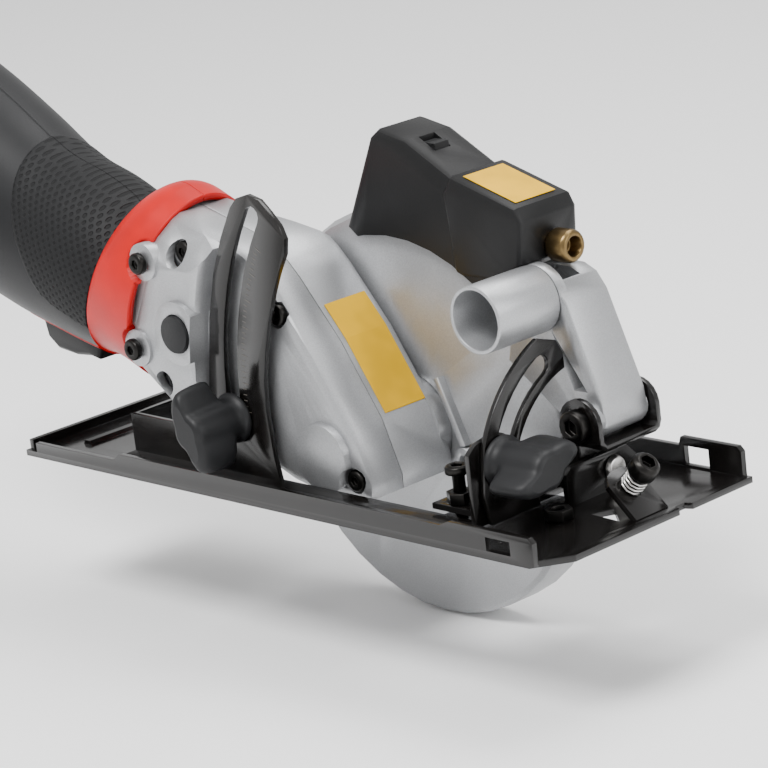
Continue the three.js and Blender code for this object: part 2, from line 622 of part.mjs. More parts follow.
function farCase() {
  const { far } = gearCaseLocal;
  const outside = union(
    prismY(caseOutline, -8, far, [], gearCase.round).intersect(caseEnvelope),
    rodY(output.nose, 0, 0, far - 4, far + output.noseEnd - gearCase.farY, 40),
  ).subtract(box(-200, 100, -100, gap / 2, -100, 100));
  const wall = gearCase.wall;
  const cavity = prismY(inset(hollowOutline, wall + 0.6), -1, far - wall).intersect(neckClear);
  const longScrews = caseScrews.filter((place) => !place.lug);
  const posts = longScrews.map(({ back, up, post }) => rodY(post, -back, up, gap / 2, far - 1, 12));
  const seat = rodY(15, 0, 0, far - 9, far, 32);
  const inner = [...posts, bearingSeat].map((piece) => piece.intersect(outside));
  const shell = union(outside.subtract(cavity), ...inner, seat)
    .subtract(box(-200, 100, -100, gap / 2, -100, 100));
  return cut(
    shell,
    bearingBore,
    ...longScrews.map((place) => rodY(screwHead.shank + 0.2, -place.back, place.up, -1, 13, 12)),
    rodY(spur.large, 0, 0, -1, far - 9, 32),
    rodY(11.05, 0, 0, far - 10, far - 1.5, 32),
    rodY(7.5, 0, 0, far - 3, far + 20, 24),
    neckOpening,
  );
}

const line = body.motor_line;
node(line, 'gear_case_near', nearCase(), look.castSilver, coarse);
node(line, 'gear_case_far', farCase(), look.castSilver, coarse);
for (const place of caseScrews) {
  const part = screw(screwHead.shank, place.head - place.tip, screwHead.radius, screwHead.height, 1.6);
  const placed = aim(part, '-y', -place.back, place.head - gap, place.up);
  node(line, `case_screw_${place.name}`, placed, look.darkScrew);
}

// ---------------------------------------------------------------- gears and shafts
function gearOutline(teeth, pitch, rootDepth) {
  const module = (2 * pitch) / teeth;
  const tip = 0.1; // half-widths of a tooth, as shares of the pitch
  const foot = 0.29;
  const outer = pitch + 0.8 * module;
  const root = pitch - rootDepth * module;
  const step = 360 / teeth;
  return Array.from({ length: teeth }, (_, i) => {
    const middle = i * step;
    return [
      polar(0, 0, root, middle - step * foot),
      polar(0, 0, outer, middle - step * tip),
      polar(0, 0, outer, middle + step * tip),
      polar(0, 0, root, middle + step * foot),
    ];
  }).flat();
}

// a toothed wheel on +Y from y0 to y1, scaled by `taper` at y1, with its first tooth at `turn` degrees
function wheel(teeth, pitch, y0, y1, { turn = 0, taper = 1, rootDepth = 1.2 } = {}) {
  const outline = shapeOf(gearOutline(teeth, pitch, rootDepth));
  const geometry = new THREE.ExtrudeGeometry(outline, { depth: 1, bevelEnabled: false });
  const place = geometry.attributes.position;
  for (let i = 0; i < place.count; i += 1) {
    const far = place.getZ(i) > 0.5;
    const scale = far ? taper : 1;
    place.setXYZ(i, place.getX(i) * scale, place.getY(i) * scale, far ? y1 : y0);
  }
  geometry.rotateZ(THREE.MathUtils.degToRad(turn));
  geometry.applyMatrix4(new THREE.Matrix4().set(0, 1, 0, 0, 0, 0, 1, 0, 1, 0, 0, 0, 0, 0, 0, 1));
  return solid(geometry);
}

function turnGroup(name, back, parent = line) {
  const group = new THREE.Group();
  group.name = name;
  group.position.set(-back, 0, 0);
  parent.add(group);
  return group;
}

const far = gearCaseLocal.far;
const spindle = turnGroup('blade_spin', 0);
const layshaft = turnGroup('layshaft_spin', bevelSet.back);
const idler = turnGroup('idler_spin', idlerBack);
const bladeY = blade.y - motor.y;
const flangeRadius = 15;

node(spindle, 'blade_spindle', solid(turned([
  [0, -12.4], [output.journal, -12.4], [output.journal, -9.7], [5, -9.7], [5, far - 9.2],
  [6, far - 9.2], [6, far - 1.6],
  [6.5, far - 1.6], [6.5, bladeY - 3.4], [blade.boreRadius, bladeY - 3.4],
  [blade.boreRadius, bladeY + 2.4], [0, bladeY + 2.4],
])), look.brightSteel);
node(spindle, 'output_gear', wheel(spurTeeth.large, spur.large, spur.y0, spur.y1)
  .subtract(solid(rod(5.1, -20, 20))), look.brightSteel);
node(line, 'spindle_far_bearing', solid(ring(6.3, 11, far - 9, far - 2, roundSteps)), look.brightSteel);
node(spindle, 'inner_flange', solid(ring(5.1, flangeRadius, bladeY - 3.3, bladeY - 1)), look.brightSteel);
node(spindle, 'outer_flange', solid(turned([
  [5.1, bladeY + 1], [flangeRadius, bladeY + 1], [flangeRadius - 2, bladeY + 3], [5.1, bladeY + 3],
  [5.1, bladeY + 1],
])), look.brightSteel);
node(spindle, 'blade_bolt', screw(2, -0.2, 7.5, 4.5, 3).translate([0, bladeY + 3.3, 0]), look.darkScrew);

function sawBlade() {
  const { radius, thickness, boreRadius, teeth } = blade;
  const gullet = 4.2;
  const outline = Array.from({ length: teeth }, (_, i) => {
    const at = (part, r) => polar(0, 0, r, (360 * (i + part)) / teeth);
    return [at(0, radius), at(0.05, radius - gullet), at(0.3, radius - gullet), at(0.7, radius - 1.6)];
  }).flat();
  const bore = circle(0, 0, boreRadius + 0.05, 24);
  const vents = [40, 160, 280].map((angle) => slotAbout(0, 0, 36, 1.2, angle, angle + 35));
  return prismY(outline, bladeY - thickness / 2, bladeY + thickness / 2, [bore, ...vents]);
}
node(spindle, 'saw_blade', sawBlade(), look.brightSteel);

// the two inner shafts run between the walls of the case
const shaftNear = gearCaseLocal.near + gearCase.wall + gap;
const shaftFar = far - gearCase.wall - gap;
node(idler, 'idler_gear', union(
  wheel(spurTeeth.idler, spur.idler, spur.y0, spur.y1, { turn: 180 / spurTeeth.idler }),
  solid(rod(4, shaftNear, shaftFar)),
), look.brightSteel);

const bevelTaper = 0.68;
const bevelRadius = (bevelSet.pinion * bevelSet.gearTeeth) / bevelSet.pinionTeeth;
node(layshaft, 'layshaft', union(
  solid(rod(3.5, shaftNear, shaftFar)),
  wheel(spurTeeth.small, spur.small, spur.y0, spur.y1),
  wheel(bevelSet.gearTeeth, bevelRadius * bevelTaper, bevelSet.pinion * bevelTaper, bevelSet.pinion, {
    turn: 180 / bevelSet.gearTeeth, taper: 1 / bevelTaper, rootDepth: 2.1,
  }),
  solid(rod(9.6, bevelSet.pinion - 0.5, bevelSet.pinion + 3.4)),
), look.brightSteel);

// ---------------------------------------------------------------- motor
const armature = turnGroup('armature_spin', bevelSet.back);
const apex = bevelSet.back; // the shaft pieces below are measured back from the bevel apex
const shaftEnd = 172 - apex;
function alongLine(manifold) {
  return manifold.rotate([0, 0, 90]); // +Y turns to -X, towards the rear
}
node(armature, 'armature', alongLine(union(
  wheel(bevelSet.pinionTeeth, bevelSet.pinion * bevelTaper, bevelRadius * bevelTaper, bevelRadius, {
    turn: 18, taper: 1 / bevelTaper,
  }),
  solid(rod(motor.shaftRadius, bevelRadius - 0.5, shaftEnd)),
  solid(rod(motor.armatureRadius, 99 - apex, 138 - apex)),
  solid(rod(9, 145 - apex, 158 - apex)),
)), look.copper);
const shaftClear = motor.shaftRadius + 0.1;
const fanShape = { radius: collar.halfWidth - 12.5, u0: 85, u1: 93, blades: 8 };
node(armature, 'cooling_fan', alongLine(union(
  solid(ring(shaftClear, fanShape.radius, fanShape.u0 - apex, fanShape.u0 + 2 - apex)),
  solid(ring(shaftClear, 6, fanShape.u0 + 1.9 - apex, fanShape.u1 - apex)),
  ...Array.from({ length: fanShape.blades }, (_, i) => box(
    5.5, fanShape.radius - 0.4, fanShape.u0 + 1.8 - apex, fanShape.u1 - 1 - apex, -0.7, 0.7,
  ).rotate([0, (i * 360) / fanShape.blades, 0])),
)), look.blackPlastic);
const onLineAt = (back, manifold) => alongLine(manifold).translate([-back, 0, 0]);
node(line, 'motor_front_bearing', onLineAt(0, solid(
  ring(shaftClear, frontBearing.radius, frontBearing.u0, frontBearing.u1),
)), look.brightSteel);
node(line, 'motor_rear_bearing', onLineAt(0, solid(ring(shaftClear, 8, 162, 168))), look.brightSteel);
// the field core carries the two brush boxes on arms behind it
const brush = { inner: 9.4, outer: 18, half: 4 };
function brushArm(side) {
  const at = (x0, x1, near, away) => {
    const [y0, y1] = side < 0 ? [-away, -near] : [near, away];
    return box(x0, x1, y0, y1, -brush.half, brush.half);
  };
  return union(at(-155, -136, 14, brush.outer), at(-155, -148, brush.inner, brush.outer));
}
node(line, 'field_core', union(
  onLineAt(0, solid(ring(motor.armatureRadius + 0.8, motor.fieldRadius, 100, 137, 24))),
  brushArm(-1),
  brushArm(1),
), look.copper);

// ---------------------------------------------------------------- handle, collar and controls
const handleStations = [
  { u: collar.rear + gap, a: 23.5, b: 26, v: 1.5 }, { u: 116, a: 25, b: 28.4, v: 2 },
  { u: 130, a: 26, b: 29.8, v: 1.2 }, { u: 150, a: 26.8, b: 30.4, v: -0.8 },
  { u: 178, a: 28.2, b: 33, v: 0.8 },
  { u: 205, a: 28.2, b: 33, v: 4 }, { u: 228, a: 25.8, b: 29.8, v: 8 }, { u: 243, a: 21, b: 24, v: 10.5 },
  { u: 250, a: 15, b: 17, v: 11.5 },
];
function thinner(stations, by) {
  return stations.map(({ u, a, b, v }, i) => {
    const atEnd = i === stations.length - 1 ? by : 0;
    return { u: u - atEnd, a: a - by, b: b - by, v };
  });
}
const skin = 1.4; // rubber over-moulding
const handleWall = 2.8;
const nearSide = box(-400, 100, -100, -gap / 2, -100, 200);
const farSide = box(-400, 100, gap / 2, 100, -100, 200);

const gripArea = [
  [-180, -16], [-134, -18], [-124, 2], [-132, 17], [-160, 22], [-206, 26], [-214, 17], [-209, -9],
];
const triggerSlot = { front: 113, rear: 144, half: 9 };
const lockOff = { back: 178, up: 14, radius: 5 };
const glandAt = { back: 250, up: 12, radius: 8 };
const handleOuter = ovalSolid(handleStations);
const handleSkinned = ovalSolid(thinner(handleStations, skin));
const handleInner = ovalSolid(thinner([
  { ...handleStations[0], u: handleStations[0].u - 1 }, ...handleStations.slice(1)], handleWall));

const shellScrews = [{ name: 'rear_upper', back: 222, up: 22 }, { name: 'rear_lower', back: 215, up: -12 }];
const shellScrew = { shank: 1.5, head: 3, height: 2.2, seat: -15.5, tip: 8.5, post: 4.6 };

function handleHalf(sideSpace, y0, y1, holes) {
  const area = prismY(inset(gripArea, -gap), y0, y1);
  const recess = area.subtract(handleSkinned);
  const posts = shellScrews.map(({ back, up }) => rodY(shellScrew.post, -back, up, -60, 60, 16));
  const shell = union(handleOuter.subtract(handleInner), ...posts.map((post) => post.intersect(handleOuter)));
  return cut(
    shell.intersect(sideSpace),
    recess,
    box(-triggerSlot.rear - 1, -triggerSlot.front + 1, -triggerSlot.half, triggerSlot.half, -60, -18),
    alongX(rod(glandAt.radius + gap, -270, -225, 20), 0, glandAt.up),
    ...shellScrews.map(({ back, up }) => (
      rodY(shellScrew.shank + 0.2, -back, up, -60, shellScrew.tip + 1, 12)
    )),
    ...shellScrews.map(({ back, up }) => rodY(shellScrew.head + gap, -back, up, -60, shellScrew.seat, 16)),
    ...holes,
  );
}
function gripHalf(y0, y1) {
  const under = ovalSolid(thinner(handleStations, skin - gap));
  return prismY(gripArea, y0, y1).intersect(handleOuter).subtract(under);
}
const lockOffBore = rodY(lockOff.radius + gap, -lockOff.back, lockOff.up, -60, 0, 20);
node(line, 'handle_near', handleHalf(nearSide, -60, -8, [lockOffBore]), look.greyPlastic, coarse);
node(line, 'handle_far', handleHalf(farSide, 8, 60, []), look.greyPlastic, coarse);
node(line, 'grip_near', gripHalf(-60, -8).subtract(lockOffBore), look.rubber);
node(line, 'grip_far', gripHalf(8, 60), look.rubber);

function collarHalf(sideSpace) {
  const { front, rear, halfWidth, halfHeight, centre, wall } = collar;
  const oval = (by, u0, u1) => ovalSolid([
    { u: u0, a: halfWidth - by, b: halfHeight - by, v: centre },
    { u: u1, a: halfWidth - by, b: halfHeight - by, v: centre },
  ]);
  const passage = ovalSolid([
    { u: rear - 10, a: 20.5, b: 21.5, v: 0.6 }, { u: rear + 5, a: 20.5, b: 21.5, v: 0.6 },
  ]);
  const lugRoom = caseScrews.filter((place) => place.lug)
    .map((place) => rodY(screwHead.lug + gap, -place.back, place.up, -60, -4, 24));
  const outside = oval(0, front, rear).intersect(sideSpace);
  return cut(outside, oval(wall, front - 1, rear - wall), passage, ...lugRoom);
}
node(line, 'collar_near', collarHalf(nearSide), look.redPlastic);
node(line, 'collar_far', collarHalf(farSide), look.redPlastic);
for (const { name, back, up } of shellScrews) {
  const { shank, seat, tip, head, height } = shellScrew;
  const part = screw(shank, seat - tip, head, height, 1.4);
  node(line, `handle_screw_${name}`, aim(part, '-y', -back, seat - gap / 2, up), look.darkScrew);
}
const trigger = prismY([
  [-triggerSlot.front, -22.7], [-triggerSlot.rear, -22.7], [-triggerSlot.rear, -30], [-140, -35.5],
  [-134, -37], [-125, -34.5], [-118, -31], [-triggerSlot.front, -30],
], -triggerSlot.half + gap, triggerSlot.half - gap, [], 1.5);
node(line, 'trigger', trigger, look.blackPlastic);
const lockOffButton = rodY(lockOff.radius, -lockOff.back, lockOff.up, -26.4, -14, 20);
node(line, 'lock_off_button', lockOffButton, look.blackPlastic);
node(line, 'power_switch', box(-210, -175, -9, 9, -12, 8), look.blackPlastic);
node(line, 'cord_gland', onLineAt(0, solid(turned([
  [3.4, 238], [7, 238], [7, 249], [glandAt.radius - gap, 249.3], [6, 262], [5.4, 268], [3.4, 268], [3.4, 238],
], 20))).translate([0, 0, glandAt.up]), look.rubber);

node(line, 'spindle_lock', rodY(lock.radius, -lock.back, lock.up, lock.face, -19, 24)
  .add(rodY(2.2, -lock.back, lock.up, -19.2, -7.5, 16)), look.greyPlastic);
const lockSpring = coil(4.2, 0.8, 3, 4).translate([-lock.back, -16.2, lock.up]);
node(line, 'spindle_lock_spring', lockSpring, look.brightSteel);

// ---------------------------------------------------------------- guards, in the saw's frame
function fan(radius, from, to, steps = 40) {
  return [[blade.x, blade.z], ...arc(blade.x, blade.z, radius, from, to, steps)];
}
function disc(radius, y0, y1, steps = 40) {
  return alongY(rod(radius, y0, y1, steps), blade.x, blade.z);
}

const armLine = [
  [158, 69], [168.5, 68.8], [173.4, 66.5], [177, 61.5], [188.4, 31.5],
  ...arc(depthPin.x, depthPin.z, 5.7, 20, -150, 10), [172, 24], [150, 40],
];
const guardBoss = { x: 128.6, z: 5.4, radius: 4, hole: 1.8 };
const ribLine = [[118, 30.5], [122.6, 20], [127, 9.5], [129.4, 10], [124.8, 21], [120.2, 31.4]];
const armNear = 10.6; // the near face of the arm passes beside the bevel quadrant
function upperGuard() {
  const { radius, wall, nearY, farY } = guard;
  const round = 5;
  const skirtZ = 1.2; // the guard ends just above the sole
  const drumShape = solid(turned([
    [0, nearY], [radius - round, nearY], [radius - round * 0.35, nearY + round * 0.35],
    [radius, nearY + round],
    [radius, farY], [0, farY],
  ], 40)).translate([blade.x, 0, blade.z]);
  const hollow = solid(turned([
    [0, nearY + wall], [radius - round - 0.6, nearY + wall], [radius - wall, nearY + round + 0.6],
    [radius - wall, farY - 1.3], [56, farY - 1.3], [56, farY + 5], [0, farY + 5],
  ], 40)).translate([blade.x, 0, blade.z]);
  const armFar = clevis.farY - steel - 0.5;
  const arm = prismY([...armLine].reverse(), armNear, armFar, [], 1.2);
  const barrel = alongY(rod(5.3, clevis.nearY + steel + 0.5, armFar), depthPin.x, depthPin.z);
  const tubeSeat = alongY(rod(tube.radius, armNear, nearY + 3, 32), tube.x, tube.z);
  const tubeBore = alongY(rod(tube.bore, armNear - 5, nearY + 12, 32), tube.x, tube.z);
  const boss = alongY(rod(guardBoss.radius, nearY - 3.5, nearY + 2, 16), guardBoss.x, guardBoss.z);
  const rib = prismY(ribLine, nearY - 2.6, nearY + 1);
  const aboveSole = box(0, 400, -100, 100, skirtZ, 300);
  const pocket = prismY([[170.3, 52.3], [177.2, 34], [183, 34]], 0, armNear + 6);
  const duct = box(-6.5, 6.5, -6, 6, -30, 4).rotate([0, 39, 0]).translate([tube.x, 19.5, tube.z]);
  return cut(
    union(drumShape, arm, barrel, tubeSeat, boss.intersect(aboveSole), rib.intersect(aboveSole)),
    hollow,
    box(0, 400, -100, 100, -200, skirtZ),
    tubeBore,
    duct,
    pocket,
    alongY(rod(depthPin.radius + 0.05, -50, 60, 24), depthPin.x, depthPin.z),
    alongY(rod(guardBoss.hole, nearY - 10, nearY + 1, 12), guardBoss.x, guardBoss.z),
    disc(output.nose + gap, 0, 20, 40),
    prismY(fan(120, 200, 340, 12).reverse(), farY - 4, farY + 1).intersect(disc(radius - wall, 0, 60)),
  );
}
node(body.head, 'upper_guard', upperGuard(), look.castSilver, coarse);

// the dust tube stands on the arm and is held by a spigot in the arm's bore
const spigot = { wall: 1.4, depth: 3.5 };
node(body.head, 'dust_tube', alongY(turned([
  [tube.bore, tube.mouthY], [tube.radius, tube.mouthY], [tube.radius, armNear - gap],
  [tube.bore - gap, armNear - gap], [tube.bore - gap, armNear + spigot.depth],
  [tube.bore - gap - spigot.wall, armNear + spigot.depth], [tube.bore - gap - spigot.wall, armNear - 1.5],
  [tube.bore, armNear - 3], [tube.bore, tube.mouthY],
], 32), tube.x, tube.z), look.castSilver);

const lowerGuardTurn = new THREE.Group();
lowerGuardTurn.name = 'lower_guard_turn';
body.head.add(lowerGuardTurn);
function lowerGuard() {
  const { lowerRadius, lowerWall, nearY, wall } = guard;
  const y0 = nearY + wall + 0.9;
  const y1 = 29.4;
  const sector = [...fan(lowerRadius + 10, -172, -6, 30)];
  const shell = solid(turned([
    [output.nose + gap, y0], [lowerRadius - 1.5, y0], [lowerRadius, y0 + 1.5], [lowerRadius, y1], [47, y1],
    [47, y1 - 1.2], [lowerRadius - lowerWall, y1 - 1.2], [lowerRadius - lowerWall, y0 + 2],
    [lowerRadius - 2.5, y0 + lowerWall], [output.nose + gap, y0 + lowerWall], [output.nose + gap, y0],
  ], 40)).translate([blade.x, 0, blade.z]).intersect(prismY(sector.reverse(), 0, 60));
  const hub = alongY(ring(output.nose + gap, 23, y0, y0 + lowerWall, 40), blade.x, blade.z);
  return shell.add(hub);
}
node(lowerGuardTurn, 'lower_guard', lowerGuard(), look.castSilver, coarse);
const guardSpring = coil(20.4, 0.9, 1, 0.5, 28).translate([blade.x, 16.7, blade.z]);
node(body.head, 'lower_guard_spring', guardSpring, look.brightSteel);

// ---------------------------------------------------------------- line laser on top of the guard
const laserBeam = { y: 22, z: 75.6 };
const laserBox = { nearY: 8.4, farY: 30, frontFarY: 33, clear: guard.radius + gap };
function laserHousing() {
  const side = [
    [86, 77], [88.5, 82], [101.5, 107.5], [105, 110], [117, 107.5], [136, 97], [156, 90.5], [158.5, 87],
    [157, 70], [153, 66.5], [140, 60], [120, 62], [100, 66],
  ].reverse();
  const rear = prismY(side, laserBox.nearY, laserBox.farY, [], 2);
  const front = prismY([
    [134, 66], [163, 66], [164.6, 85.5], [162.4, 89.6], [136, 97.5], [132, 92],
  ], laserBox.nearY - 0.6, laserBox.frontFarY, [], 1.6);
  const bore = alongX(rod(4.2, 142, 175, 20), laserBeam.y, laserBeam.z);
  const cavity = prismY([[112, 86.5], [130, 86], [130, 94], [114, 102]], 13, 26);
  const buttonBore = box(-3.4, 3.4, -3.4, 3.4, 0, 60).translate([121, 18, 90]);
  const skirt = alongY(rod(62.5, 0, guard.nearY + 1, 40), blade.x, blade.z);
  return cut(
    union(rear, front),
    alongY(rod(laserBox.clear, guard.nearY - gap, 60, 40), blade.x, blade.z),
    skirt,
    alongY(rod(tube.radius + gap, -50, 60, 32), tube.x, tube.z),
    prismY(armLine.map(([x, z]) => [x, z + gap]).reverse(), 0, 60),
    bore,
    cavity,
    buttonBore,
  );
}
node(body.head, 'laser_housing', laserHousing(), look.blackPlastic);
node(body.head, 'laser_module', alongX(turned([
  [0, 144], [4, 144], [4, 165], [5.2, 165.2], [5.2, 171.5], [4.4, 172.6], [3.2, 172.6], [2.8, 168], [0, 168],
], 24), laserBeam.y, laserBeam.z), look.brass);
node(body.head, 'laser_button', box(117.9, 124.1, 14.9, 21.1, 97, 105.5), look.rubber);

// ---------------------------------------------------------------- depth clamp
const armFace = carriage.nearY;
node(body.head, 'depth_bolt', alongY(turned([
  [0, armFace - 16], [depthClamp.boltRadius, armFace - 16], [depthClamp.boltRadius, gearCase.nearY - 0.2],
  [0, gearCase.nearY - 0.2],
], 16), ...depthBolt), look.darkScrew);
const depthKnob = new THREE.Group();
depthKnob.name = 'depth_knob_turn';
depthKnob.position.set(depthBolt[0], armFace - gap, depthBolt[1]);
body.head.add(depthKnob);
node(depthKnob, 'depth_knob', wingKnob(knob, depthClamp.boltRadius + 0.1)
  .rotate([0, -60, 0]).rotate([180, 0, 0]), look.greyPlastic);

export default saw;
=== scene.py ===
# Compact circular saw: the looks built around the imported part. Metres, the part's own frame.
import json
import math

import bmesh
import bpy
from mathutils import Matrix, Vector


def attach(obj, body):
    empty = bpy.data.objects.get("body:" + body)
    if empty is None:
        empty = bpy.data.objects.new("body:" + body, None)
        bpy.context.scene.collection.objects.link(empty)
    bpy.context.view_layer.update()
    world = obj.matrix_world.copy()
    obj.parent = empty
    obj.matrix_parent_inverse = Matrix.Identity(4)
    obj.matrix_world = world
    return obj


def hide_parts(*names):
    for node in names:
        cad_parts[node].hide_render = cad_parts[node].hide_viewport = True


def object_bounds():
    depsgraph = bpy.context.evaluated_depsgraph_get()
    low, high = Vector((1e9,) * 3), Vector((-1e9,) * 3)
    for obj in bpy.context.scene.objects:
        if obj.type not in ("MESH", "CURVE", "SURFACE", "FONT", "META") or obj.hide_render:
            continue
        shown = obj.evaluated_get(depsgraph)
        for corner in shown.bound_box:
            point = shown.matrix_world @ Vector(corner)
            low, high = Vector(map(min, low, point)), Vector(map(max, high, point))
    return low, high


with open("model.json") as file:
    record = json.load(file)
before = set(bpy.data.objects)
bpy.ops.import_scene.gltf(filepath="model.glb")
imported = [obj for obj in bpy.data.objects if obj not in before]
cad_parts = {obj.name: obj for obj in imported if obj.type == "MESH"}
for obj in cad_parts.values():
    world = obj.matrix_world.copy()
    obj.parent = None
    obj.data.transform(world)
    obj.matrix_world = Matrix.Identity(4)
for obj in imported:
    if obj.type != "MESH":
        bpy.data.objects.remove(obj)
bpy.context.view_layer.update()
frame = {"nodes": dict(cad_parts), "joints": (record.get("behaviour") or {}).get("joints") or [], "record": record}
MM = 0.001
TILT = math.radians(22.5)
joint_of = {joint["name"]: joint for joint in frame["joints"]}
spin = Vector(joint_of["blade_spin"]["pos_m"])
MOTOR_Y = -13.5  # the plane of the motor's axis, in millimetres
# the motor line: local X points forwards along the motor, local Z away from it
LINE = Matrix.Translation((spin.x, MOTOR_Y * MM, spin.z)) @ Matrix.Rotation(TILT, 4, "Y")


# ---------------------------------------------------------------- shader maths
class Wire:
    """A socket, or a plain number, that takes part in sums."""

    def __init__(self, tree, value):
        self.tree = tree
        self.value = value

    def into(self, socket):
        if isinstance(self.value, bpy.types.NodeSocket):
            self.tree.links.new(self.value, socket)
        else:
            socket.default_value = self.value

    def math(self, operation, *others):
        node = self.tree.nodes.new("ShaderNodeMath")
        node.operation = operation
        for socket, item in zip(node.inputs, (self, *others)):
            wrap(self.tree, item).into(socket)
        return Wire(self.tree, node.outputs[0])

    def __add__(self, other):
        return self.math("ADD", other)

    def __radd__(self, other):
        return wrap(self.tree, other).math("ADD", self)

    def __sub__(self, other):
        return self.math("SUBTRACT", other)

    def __rsub__(self, other):
        return wrap(self.tree, other).math("SUBTRACT", self)

    def __mul__(self, other):
        return self.math("MULTIPLY", other)

    def __rmul__(self, other):
        return wrap(self.tree, other).math("MULTIPLY", self)

    def __truediv__(self, other):
        return self.math("DIVIDE", other)

    def ramp(self, low, high):
        """0 below low, 1 above high, smooth between."""
        inputs = {0: self, 1: low, 2: high}
        return self.node("ShaderNodeMapRange", "Result", inputs, interpolation_type="SMOOTHSTEP")

    def node(self, kind, output=0, inputs=None, **settings):
        node = self.tree.nodes.new(kind)
        for name, value in settings.items():
            setattr(node, name, value)
        for key, value in (inputs or {}).items():
            wrap(self.tree, value).into(node.inputs[key])
        return Wire(self.tree, node.outputs[output])


def wrap(tree, value):
    return value if isinstance(value, Wire) else Wire(tree, value)


class Paint:
    """A material whose patterns read the object's own coordinates, in millimetres."""

    def __init__(self, name, color, roughness, metallic=0.0, coat=0.0, specular=0.5):
        self.material = bpy.data.materials.new(name)
        self.material.use_nodes = True
        tree = self.material.node_tree
        self.tree = tree
        self.shader = tree.nodes["Principled BSDF"]
        self.shader.inputs["Metallic"].default_value = metallic
        self.shader.inputs["Coat Weight"].default_value = coat
        self.shader.inputs["Coat Roughness"].default_value = 0.12
        self.shader.inputs["Specular IOR Level"].default_value = specular
        self.color = (*color, 1.0)
        self.set("Base Color", self.color)
        self.set("Roughness", roughness)
        zero = Wire(tree, 0.0)
        self.zero = zero
        place = zero.node("ShaderNodeTexCoord", "Object")
        self.place = zero.node("ShaderNodeVectorMath", 0, {0: place, "Scale": 1000.0}, operation="SCALE")

    def set(self, name, value):
        wrap(self.tree, value).into(self.shader.inputs[name])

    def noise(self, scale, detail=3.0, place=None, roughness=0.55):
        inputs = {"Vector": place or self.place, "Scale": scale, "Detail": detail, "Roughness": roughness}
        return self.zero.node("ShaderNodeTexNoise", "Fac", inputs)

    def cells(self, scale):
        inputs = {"Vector": self.place, "Scale": scale, "Randomness": 1.0}
        return self.zero.node("ShaderNodeTexVoronoi", "Distance", inputs)

    def mix(self, amount, first, second):
        node = self.tree.nodes.new("ShaderNodeMix")
        node.data_type = "RGBA"
        for key, value in ((0, amount), (6, first), (7, second)):
            wrap(self.tree, value).into(node.inputs[key])
        return Wire(self.tree, node.outputs[2])

    def bump(self, height, distance):
        inputs = {"Height": height, "Distance": distance, "Strength": 1.0}
        self.set("Normal", self.zero.node("ShaderNodeBump", "Normal", inputs))


def tone(color, factor):
    return (*(min(1.0, c * factor) for c in color[:3]), 1.0)


def worn(name, color, roughness, grain, **kw):
    """Plastic or paint with a fine grain and a faint unevenness in tone and gloss."""
    paint = Paint(name, color, roughness, **kw)
    cloud = paint.noise(0.06, 2.0)
    fine = paint.noise(grain, 2.0)
    paint.set("Base Color", paint.mix(cloud.ramp(0.3, 0.7), tone(paint.color, 0.88), tone(paint.color, 1.1)))
    paint.set("Roughness", roughness + (cloud - 0.5) * 0.12 + (fine - 0.5) * 0.1)
    paint.bump(fine, 0.03 * MM)
    return paint


def cast_silver():
    base = (0.40, 0.405, 0.415)
    paint = Paint("cast_silver", base, 0.4, metallic=0.75, coat=0.1)
    spark = paint.cells(5.5)
    fine = paint.noise(2.2, 3.0)
    cloud = paint.noise(0.05, 2.0)
    fleck = spark.ramp(0.18, 0.02)
    shade = paint.mix(cloud.ramp(0.3, 0.7), tone(base, 0.95), tone(base, 1.05))
    shade = paint.mix(fine.ramp(0.35, 0.65) * 0.5, shade, tone(base, 0.78))
    paint.set("Base Color", paint.mix(fleck * 0.8, shade, tone(base, 2.0)))
    paint.set("Roughness", 0.44 + (fine - 0.5) * 0.25)
    paint.bump(fine + fleck * 0.3, 0.04 * MM)
    return paint


def black_steel():
    base = (0.0035, 0.003, 0.0028)
    paint = Paint("black_steel", base, 0.22, metallic=0.0, coat=0.15, specular=0.35)
    cloud = paint.noise(0.09, 3.0)
    fine = paint.noise(0.9, 4.0)
    rub = paint.noise(0.035, 5.0, roughness=0.7)
    paint.set("Base Color", paint.mix(rub.ramp(0.5, 0.75), base + (1.0,), (0.0075, 0.006, 0.005, 1.0)))
    paint.set("Roughness", 0.22 + (cloud - 0.5) * 0.2 + (fine - 0.5) * 0.08)
    paint.bump(fine, 0.015 * MM)
    return paint


BRUSH_STRETCH = (0.6, 6.0, 6.0)  # brushing runs along X


def brushed(name, color, roughness):
    paint = Paint(name, color, roughness, metallic=1.0)
    inputs = {0: paint.place, 1: BRUSH_STRETCH}
    stretched = paint.zero.node("ShaderNodeVectorMath", 0, inputs, operation="MULTIPLY")
    lines = paint.noise(1.0, 3.0, stretched)
    cloud = paint.noise(0.15, 3.0)
    paint.set("Base Color", paint.mix(lines, tone(paint.color, 0.8), tone(paint.color, 1.15)))
    paint.set("Roughness", roughness + (lines - 0.5) * 0.2 + (cloud - 0.5) * 0.15)
    paint.bump(lines, 0.01 * MM)
    return paint


